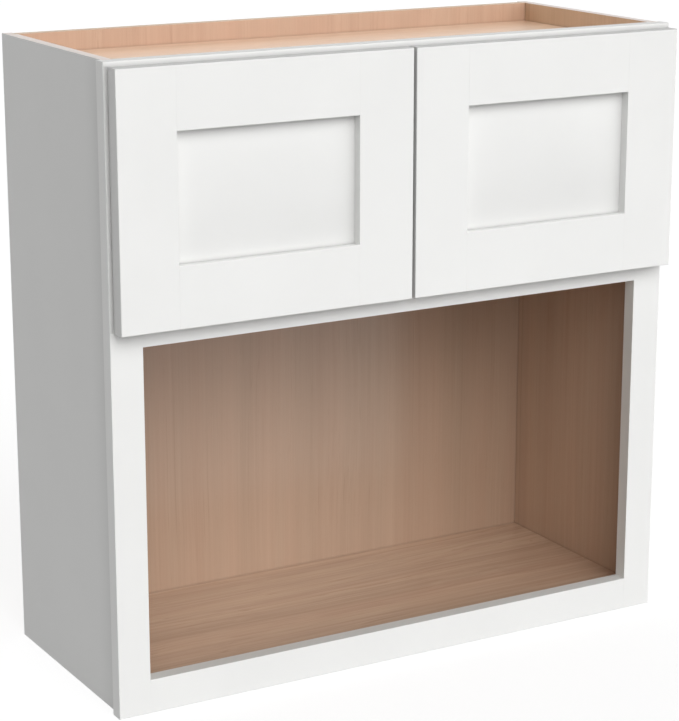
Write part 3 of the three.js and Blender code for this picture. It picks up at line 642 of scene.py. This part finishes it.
class CABINET_OT_box(Operator):
    """Finishes the plywood box: two painted sides, back, top, cupboard shelf and bay floor"""

    bl_idname = "cabinet.box"
    bl_label = "Plywood Box"

    def execute(self, context):
        arris = context.scene.cabinet_sizes.board_arris
        back_front, frame_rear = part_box("back_panel")[0].y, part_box("frame_stile_left")[1].y
        inner = ("x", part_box("side_panel_right")[0].x, *VENEER_JOINT_AND_SHADE)
        rear = ("y", back_front, *VENEER_JOINT_AND_SHADE)
        scribe = ("y", back_front - SCRIBE_INSET, *SCRIBE_LINE)
        boards = ("bottom_panel", "cupboard_shelf", "top_panel")
        heights = [corner.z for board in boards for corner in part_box(board)]
        levels = [("z", height, *VENEER_JOINT_AND_SHADE) for height in heights]
        for side in SIDES:
            joints = (rear, scribe, ("y", frame_rear, *VENEER_JOINT_AND_SHADE), *levels)
            self.side(side, joints, frame_rear, heights[-1], arris)
        self.back((inner, *levels), heights[-1], arris)
        self.board("top_panel", (inner, rear))
        self.board("cupboard_shelf", (inner, rear))
        self.board("bottom_panel", (inner, rear, ("y", frame_rear, *SILL_SHADE)))
        return {"FINISHED"}

    def side(self, side, joints, frame_rear, top, arris):
        """Painted outside and clear-coated inside, with painted shade on its outer face behind the frame, on
        the bay's walls and on its top edge, and a strip above the top panel painted lighter as light.
        """
        node = f"side_panel_{side}"
        low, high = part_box(node)
        outward = 1.0 if side == "right" else -1.0
        piece = copied_piece(node)
        ease(piece, [("x", low.x), ("x", high.x), ("y", high.y), ("z", low.z), ("z", high.z)], arris)
        cut_at(piece, top)

        def choose(normal, centre):
            if normal.x * outward < -FACING:
                return 2 if centre.z > top else 1
            return 3 if normal.z > FACING else 0

        finish(piece, node, "cabinet",
               [white_lacquer("sides", (("y", frame_rear, *STEP_SHADE),)),
                maple_veneer("sides", "z", (*joints, ("y", frame_rear, *WALL_SHADE))),
                maple_veneer("sides, top", "z", joints),
                white_lacquer("board edge", (), BOARD_TOP)], choose)

    def back(self, joints, top, arris):
        """Dark joint lines and painted shade on its inner face only, and a strip above the top panel painted
        lighter as light.
        """
        low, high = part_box("back_panel")
        middle = (low.y + high.y) / 2.0
        joints = tuple((*joint, ("y", low.y - MM, middle)) for joint in joints)
        piece = copied_piece("back_panel")
        ease(piece, [("z", low.z), ("z", high.z), ("y", low.y), ("y", high.y)], arris)
        cut_at(piece, top)
        mark_depth(piece, "y")

        def choose(normal, centre):
            if abs(normal.y) < FACING:
                return 2
            return 1 if centre.z > top and centre.y < middle else 0

        finish(piece, "back_panel", "cabinet",
               [maple_veneer("back", "z", joints),
                maple_veneer("back, top", "z", joints),
                plywood_edge()], choose)

    def board(self, node, joints):
        """A level board, with its grain from side to side."""
        piece = copied_piece(node)
        mark_depth(piece, "z")
        finish(piece, node, "cabinet",
               [maple_veneer(node.replace("_", " "), "x", joints), plywood_edge()],
               lambda normal, centre: 0 if abs(normal.z) > FACING else 1)


# ------ the face frame


class CABINET_OT_face_frame(Operator):
    """Finishes the five painted boards of the face frame"""

    bl_idname = "cabinet.face_frame"
    bl_label = "Face Frame"

    def execute(self, context):
        arris = context.scene.cabinet_sizes.frame_arris
        front = ("y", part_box("frame_stile_left")[0].y)
        bottom, middle, top = ([corner.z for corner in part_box(f"frame_rail_{name}")]
                               for name in ("bottom", "middle", "top"))
        openings = [(bottom[1], middle[0]), (middle[1], top[0])]
        for side in SIDES:
            node = f"frame_stile_{side}"
            low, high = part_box(node)
            piece = copied_piece(node)
            for opening in openings:
                cut_at(piece, *opening)
                ease(piece, [("x", high.x if side == "left" else low.x), front], arris, opening)
            self.paint(piece, node)
        for name, edges in (("bottom", bottom[1:]), ("middle", middle), ("top", top[:1])):
            node = f"frame_rail_{name}"
            piece = copied_piece(node)
            for edge in edges:
                ease(piece, [("z", edge), front], arris)
            self.paint(piece, node)
        return {"FINISHED"}

    def paint(self, piece, node):
        """Lacquer, with painted shade where the doors' edges stand before the frame, and copies painted
        darker as shade on the sill and the top, lighter as light on the outer sides, and tinted against the
        wood's warm light on the jambs.
        """
        highest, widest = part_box("frame_rail_top")[1].z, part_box("frame_stile_right")[1].x
        low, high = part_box("right_door_outer_stile")
        shades = (("z", high.z, *SHADE_ABOVE_DOORS), ("x", high.x, *SHADE_BESIDE_DOORS, ("z", low.z, high.z)))

        def choose(normal, centre):
            if abs(centre.x) > widest - AT_SIDE:
                return 3
            if abs(normal.x) > FACING:
                return 4
            if normal.z > FACING:
                return 2 if centre.z > highest - AT_EDGE else 1
            return 0

        finish(piece, node, "cabinet",
               [white_lacquer("frame", shades),
                white_lacquer("sill", (), SILL),
                white_lacquer("frame top", (), FRAME_TOP),
                white_lacquer("frame side", (), FRAME_SIDE),
                white_lacquer("jamb", (), JAMB)], choose)


# ------ the doors


class CABINET_OT_doors(Operator):
    """Finishes the two shaker doors, each with two stiles, two rails and a flat panel"""

    bl_idname = "cabinet.doors"
    bl_label = "Doors"

    def execute(self, context):
        arris = context.scene.cabinet_sizes.door_arris
        for side in SIDES:
            self.door(side, arris)
        return {"FINISHED"}

    def door(self, side, arris):
        """Stiles and rails with eased edges round the recess, and the panel in it."""
        door = f"{side}_door"
        front = ("y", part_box(f"{door}_outer_stile")[0].y)
        recess = (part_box(f"{door}_bottom_rail")[1].z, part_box(f"{door}_top_rail")[0].z)
        for place in ("outer", "inner"):
            node = f"{door}_{place}_stile"
            low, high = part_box(node)
            faces_right = (place == "outer") == (side == "left")
            face = ("x", high.x if faces_right else low.x)
            piece = copied_piece(node)
            cut_at(piece, *recess)
            ease(piece, [face, front], arris, recess)
            self.paint(piece, node, door, face)
        for place, height in (("top", recess[1]), ("bottom", recess[0])):
            node = f"{door}_{place}_rail"
            piece = copied_piece(node)
            ease(piece, [("z", height), front], arris)
            self.paint(piece, node, door, ("z", height))
        self.panel(door, recess)

    def paint(self, piece, node, door, face):
        """Lacquer, with painted shade on the door's meeting edge, its top and its outer edge, and on the
        faces that look into the recess.
        """
        axis = face[0]
        low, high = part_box("right_door_inner_stile")
        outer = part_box("right_door_outer_stile")[1].x
        recess = (("y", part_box(f"{door}_panel")[0].y, *RECESS_SHADES[axis]),)
        rear = (("y", high.y, *DOOR_SIDE_SHADE),)

        def choose(normal, centre):
            if on_plane(centre, face):
                return 1
            if centre.z > high.z - AT_EDGE and normal.z > FACING:
                return 3
            if abs(normal.x) < FACING:
                return 0
            if abs(centre.x) < low.x + AT_EDGE:
                return 2
            return 4 if abs(centre.x) > outer - AT_EDGE else 0

        finish(piece, node, door,
               [white_lacquer(),
                white_lacquer(f"recess {axis}", recess),
                white_lacquer("meeting edge", (), MEETING_EDGE),
                white_lacquer("door top", (), DOOR_TOP),
                white_lacquer("door side", rear, DOOR_SIDE)], choose)

    def panel(self, door, recess):
        """Lacquer with lines of painted shade at the stiles and the lower rail, and a faint painted shade
        that fades upwards.
        """
        bottom, top = recess
        stiles = (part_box(f"{door}_outer_stile"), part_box(f"{door}_inner_stile"))
        edges = sorted(abs(corner.x) for stile in stiles for corner in stile)
        joints = (*(("x", edge, *PANEL_EDGE_SHADE) for edge in edges[1:3]),
                  ("z", bottom, *LEDGE_SHADE), ("z", bottom, top - bottom, PANEL_SHADE_FADE))
        piece = copied_piece(f"{door}_panel")
        finish(piece, f"{door}_panel", door, [white_lacquer("panel", joints)])


# ------ the hardware


def turned(name, profile, sides):
    """A form turned round Z, in millimetres, from its half section, whose ends lie on the axis."""
    bpy.ops.object.select_all(action="DESELECT")
    bpy.ops.mesh.primitive_circle_add(vertices=3, radius=1.0)
    piece = bpy.context.active_object
    piece.name = name
    select_only(piece.data, "vertices", lambda vertex: vertex.index > 0)
    start = Vector((0.0, 0.0, profile[0][1])) - piece.data.vertices[0].co
    with editing(piece, "VERT"):
        bpy.ops.mesh.delete(type="VERT")
        bpy.ops.mesh.select_all(action="SELECT")
        bpy.ops.transform.translate(value=start)
        for (radius, height), (next_radius, next_height) in zip(profile, profile[1:]):
            step = (next_radius - radius, 0.0, next_height - height)
            bpy.ops.mesh.extrude_vertices_move(TRANSFORM_OT_translate={"value": step})
        bpy.ops.mesh.select_all(action="SELECT")
        bpy.ops.mesh.spin(steps=sides, angle=2.0 * math.pi, center=(0.0, 0.0, 0.0), axis=(0.0, 0.0, 1.0))
        bpy.ops.mesh.select_all(action="SELECT")
        bpy.ops.mesh.remove_doubles(threshold=SEAM)
        bpy.ops.mesh.normals_make_consistent(inside=False)
    return piece


def put(model, node, place, turn=(0.0, 0.0, 0.0), mirrored=False):
    """A copy of a model made in millimetres, turned and set at its place in metres."""
    piece = model.copy()
    piece.data = model.data.copy()
    piece.name = "finished_" + node
    bpy.context.scene.collection.objects.link(piece)
    piece.location = place
    piece.rotation_euler = turn
    piece.scale = (-MM if mirrored else MM, MM, MM)
    only(piece)
    bpy.ops.object.transform_apply(location=True, rotation=True, scale=True)
    if mirrored:
        with editing(piece):
            bpy.ops.mesh.normals_make_consistent(inside=False)
    return piece


def pin_model():
    """A pin with rounded ends, in millimetres, with its middle at the origin."""
    ends = [(PIN_RADIUS * out, PIN_LENGTH / 2.0 * along) for out, along in PIN_END]
    return turned("pin_model", [(out, -along) for out, along in ends] + ends[::-1], TURNED_SIDES)


def screw_model(name, radius, root, pitch, length, head_radius, point):
    """A cross-recessed pan-head screw with its head up, in millimetres. Its head sits on z = 0."""
    height = -length + point
    profile = [(0.0, -length), (0.25 * root, -length + 0.12 * point), (root, height)]
    while height + pitch < THREAD_END:
        profile += [(out, height + share * pitch) for out, share in zip((radius, radius, root), THREAD)]
        height += pitch
    profile += [(root, NECK), (1.05 * root, 0.0), (0.95 * head_radius, 0.0)]
    profile += [(head_radius * out, HEAD_HEIGHT * up) for out, up in HEAD_DOME]
    piece = turned(name, profile, TURNED_SIDES)
    for turn in (0.0, 90.0):
        bpy.ops.object.select_all(action="DESELECT")
        bpy.ops.mesh.primitive_cube_add(
            size=1.0, location=(0.0, 0.0, HEAD_HEIGHT), rotation=(0.0, 0.0, math.radians(turn)),
            scale=[share * size for share, size in zip(CROSS_SIZE, (head_radius, head_radius, HEAD_HEIGHT))])
        cutter = bpy.context.active_object
        bpy.ops.object.transform_apply(location=True, rotation=True, scale=True)
        for polygon in cutter.data.polygons:
            polygon.select = polygon.normal.z < -FACING
        with editing(cutter, "FACE"):
            bpy.ops.transform.resize(value=(CROSS_TAPER, CROSS_TAPER, 1.0),
                                     center_override=(0.0, 0.0, CROSS_TAPER_HEIGHT * HEAD_HEIGHT))
        apply_modifier(piece, "BOOLEAN", operation="DIFFERENCE", solver="EXACT", object=cutter)
        bpy.data.objects.remove(cutter)
    return piece


def spring_model():
    """The right-hand closing spring round its pin, in millimetres, with its straight leg."""
    half = SPRING_TURNS * SPRING_PITCH / 2.0
    bpy.ops.object.select_all(action="DESELECT")
    bpy.ops.mesh.primitive_circle_add(vertices=WIRE_SIDES, radius=WIRE_RADIUS,
                                      location=(0.0, -SPRING_RADIUS, -half),
                                      rotation=(0.0, math.radians(90.0), 0.0))
    piece = bpy.context.active_object
    piece.name = "spring_model"
    bpy.ops.object.transform_apply(location=True, rotation=True, scale=True)
    apply_modifier(piece, "SCREW", axis="Z", angle=2.0 * math.pi, screw_offset=SPRING_PITCH,
                   iterations=SPRING_TURNS, steps=COIL_STEPS, render_steps=COIL_STEPS,
                   use_merge_vertices=False)

    def at_end(vertex, end):
        """Whether a point is on the wire's last ring at its lower end, -1, or its upper one, 1."""
        beyond = vertex.co.z * end > half - 1.2 * WIRE_RADIUS
        return beyond and abs(vertex.co.x) < SEAM / 2.0 and vertex.co.y < 0.0

    for end in (-1, 1):
        select_only(piece.data, "vertices", lambda vertex: at_end(vertex, end))
        with editing(piece, "VERT"):
            if end == -1:
                bpy.ops.mesh.extrude_region_move(TRANSFORM_OT_translate={"value": (-SPRING_LEG, 0.0, 0.0)})
            bpy.ops.mesh.edge_face_add()
            bpy.ops.mesh.select_all(action="SELECT")
            bpy.ops.mesh.normals_make_consistent(inside=False)
    return piece


class CABINET_OT_hinges(Operator):
    """Finishes the four concealed hinges, each with its cup, arm, plate, pin, spring and screws"""

    bl_idname = "cabinet.hinges"
    bl_label = "Concealed Hinges"

    def execute(self, context):
        arris = context.scene.cabinet_sizes.metal_arris
        colours = context.scene.cabinet_colours
        nickel = plated_metal("Satin nickel", tuple(colours.nickel), 0.30, 900.0)
        zinc = plated_metal("Zinc plate", tuple(colours.zinc), 0.36, 300.0)
        steel = plated_metal("Spring steel", tuple(colours.spring_steel), 0.34, 500.0)
        pin, spring = pin_model(), spring_model()
        plate_screw = screw_model("wood_screw_model", **WOOD_SCREW)
        adjusting_screw = screw_model("machine_screw_model", **MACHINE_SCREW)
        for side, level in CORNERS:
            door = f"{side}_door"
            hinge = f"{side}_{level}_hinge"
            for part, body in (("cup", door), ("arm", "cabinet"), ("plate", "cabinet")):
                self.stamped(f"{hinge}_{part}", body, nickel, arris)
            low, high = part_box(f"{hinge}_pin")
            middle = (low + high) / 2.0
            piece = put(pin, f"{hinge}_pin", middle)
            finish(piece, f"{hinge}_pin", door, [zinc], angle=TURNED_ANGLE)
            piece = put(spring, f"{hinge}_spring", middle, mirrored=side == "left")
            finish(piece, f"{hinge}_spring", door, [steel], angle=TURNED_ANGLE)
            for model, screw in ((plate_screw, "plate_screw_top"), (plate_screw, "plate_screw_bottom"),
                                 (adjusting_screw, "adjusting_screw")):
                self.screw(model, f"{side}_{level}_{screw}", side, zinc)
        for model in (pin, spring, plate_screw, adjusting_screw):
            bpy.data.objects.remove(model)
        return {"FINISHED"}

    def stamped(self, node, body, metal, arris):
        """A bent or pressed piece of the frame, with its sharp edges rounded."""
        piece = copied_piece(node)
        apply_modifier(piece, "BEVEL", width=arris, segments=2, limit_method="ANGLE",
                       angle_limit=math.radians(STAMPED_ANGLE), use_clamp_overlap=True)
        finish(piece, node, body, [metal], angle=STAMPED_ANGLE)

    def screw(self, model, node, side, metal):
        """A screw in the stile's edge, with its head towards the opening."""
        low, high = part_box(node)
        middle = (low + high) / 2.0
        inward, head_top = (-1.0, low.x) if side == "right" else (1.0, high.x)
        place = (head_top - inward * HEAD_HEIGHT * MM, middle.y, middle.z)
        piece = put(model, node, place, (0.0, inward * math.radians(90.0), 0.0))
        finish(piece, node, "cabinet", [metal], angle=TURNED_ANGLE)


class CABINET_OT_bumpers(Operator):
    """Finishes the four soft bumpers behind the doors"""

    bl_idname = "cabinet.bumpers"
    bl_label = "Door Bumpers"

    def execute(self, context):
        radius, foot = BUMPER_FOOT[-1]
        section = list(BUMPER_FOOT)
        for degrees in range(10, 90, 10):
            angle = math.radians(degrees)
            section.append((radius * math.cos(angle), foot + BUMPER_DOME * math.sin(angle)))
        section.append((0.0, foot + BUMPER_DOME))
        model = turned("bumper_model", section, BUMPER_SIDES)
        for side, level in CORNERS:
            node = f"{side}_door_{level}_bumper"
            low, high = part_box(node)
            middle = (low + high) / 2.0
            piece = put(model, node, (middle.x, low.y, middle.z), (math.radians(-90.0), 0.0, 0.0))
            finish(piece, node, f"{side}_door", [clear_silicone()], angle=BUMPER_ANGLE)
        bpy.data.objects.remove(model)
        return {"FINISHED"}


# ------ the stage


class CABINET_OT_stage(Operator):
    """Sets the pale floor, the soft lamps, the white backdrop and the camera"""

    bl_idname = "cabinet.stage"
    bl_label = "Stage"

    def execute(self, context):
        stage = context.scene.cabinet_stage
        self.floor(stage)
        self.world(context.scene, stage)
        for name, directions in LAMPS.items():
            self.lamp(f"{name}_lamp", *directions, getattr(stage, f"{name}_strength"))
        self.camera(context.scene, stage)
        context.scene.view_settings.view_transform = "Standard"
        return {"FINISHED"}

    def seen(self, nodes):
        """1 where the camera, a reflection or clear rubber looks, and 0 for the light itself."""
        path = nodes.add("ShaderNodeLightPath").outputs
        looked = nodes.maths("MAXIMUM", path["Is Camera Ray"], path["Is Glossy Ray"])
        return nodes.maths("MAXIMUM", looked, path["Is Transmission Ray"])

    def floor(self, stage):
        """A matt floor that glows to the camera and is clear from below."""
        bpy.ops.mesh.primitive_plane_add(size=2.0 * stage.floor_radius, location=(0.0, 0.0, CAD_LOW.z))
        floor = bpy.context.active_object
        floor.name = "floor"
        material = bpy.data.materials.new("Pale floor")
        material.use_nodes = True
        nodes = Nodes(material.node_tree)
        material.node_tree.nodes.remove(material.node_tree.nodes["Principled BSDF"])
        matt = nodes.add("ShaderNodeBsdfDiffuse", {"Color": rgba(stage.floor_colour)})
        glow = nodes.add("ShaderNodeEmission", {"Strength": nodes.times(self.seen(nodes), FLOOR_GLOW)})
        lit = nodes.add("ShaderNodeAddShader", {0: matt.outputs[0], 1: glow.outputs[0]})
        under = nodes.add("ShaderNodeNewGeometry").outputs["Backfacing"]
        clear = nodes.add("ShaderNodeBsdfTransparent")
        shown = nodes.add("ShaderNodeMixShader", {0: under, 1: lit.outputs[0], 2: clear.outputs[0]})
        nodes.link(shown.outputs[0], material.node_tree.nodes["Material Output"].inputs["Surface"])
        floor.data.materials.append(material)

    def world(self, scene, stage):
        """White to the camera, and a dim even light for the room."""
        scene.world = bpy.data.worlds.new("Studio")
        scene.world.use_nodes = True
        nodes = Nodes(scene.world.node_tree)
        background = scene.world.node_tree.nodes["Background"].inputs
        background["Color"].default_value = rgba(EVEN)
        nodes.link(nodes.spread(self.seen(nodes), 0.0, 1.0, stage.ambient, 1.0), background["Strength"])

    def lamp(self, name, azimuth, elevation, width, energy):
        """A distant soft lamp."""
        around, up = math.radians(azimuth), math.radians(elevation)
        towards = Vector((math.sin(around) * math.cos(up), -math.cos(around) * math.cos(up), math.sin(up)))
        bpy.ops.object.light_add(type="SUN", location=towards * LAMP_DISTANCE)
        lamp = bpy.context.active_object
        lamp.name = name
        lamp.rotation_euler = towards.to_track_quat("Z", "Y").to_euler()
        lamp.data.angle = math.radians(width)
        lamp.data.energy = energy
        lamp.visible_glossy = False

    def camera(self, scene, stage):
        bpy.ops.object.camera_add(location=stage.camera_place, rotation=stage.camera_turn)
        camera = bpy.context.active_object
        camera.name = "camera"
        camera.data.lens = stage.lens
        camera.data.sensor_width = SENSOR_WIDTH
        scene.camera = camera


# ------ the add-on


OPERATORS = (CABINET_OT_box, CABINET_OT_face_frame, CABINET_OT_doors, CABINET_OT_hinges,
             CABINET_OT_bumpers, CABINET_OT_stage)


class CABINET_PT_sidebar(Panel):
    """Sizes, colours and steps of the cabinet"""

    bl_idname = "CABINET_PT_sidebar"
    bl_label = "Microwave Cabinet"
    bl_space_type = "VIEW_3D"
    bl_region_type = "UI"
    bl_category = "Cabinet"

    def draw(self, context):
        layout, scene = self.layout, context.scene
        for group in (scene.cabinet_sizes, scene.cabinet_colours, scene.cabinet_stage):
            column = layout.box().column()
            for name in group.bl_rna.properties.keys():
                if name not in ("rna_type", "name"):
                    column.prop(group, name)
        for operator in OPERATORS:
            layout.operator(operator.bl_idname)


CLASSES = (CabinetSizes, CabinetColours, CabinetStage, *OPERATORS, CABINET_PT_sidebar)


def register():
    for cls in CLASSES:
        bpy.utils.register_class(cls)
    bpy.types.Scene.cabinet_sizes = PointerProperty(type=CabinetSizes)
    bpy.types.Scene.cabinet_colours = PointerProperty(type=CabinetColours)
    bpy.types.Scene.cabinet_stage = PointerProperty(type=CabinetStage)


def unregister():
    del bpy.types.Scene.cabinet_stage
    del bpy.types.Scene.cabinet_colours
    del bpy.types.Scene.cabinet_sizes
    for cls in reversed(CLASSES):
        bpy.utils.unregister_class(cls)


def main():
    register()
    bpy.ops.cabinet.box()
    bpy.ops.cabinet.face_frame()
    bpy.ops.cabinet.doors()
    bpy.ops.cabinet.hinges()
    bpy.ops.cabinet.bumpers()
    bpy.ops.cabinet.stage()


if __name__ == "__main__":
    main()
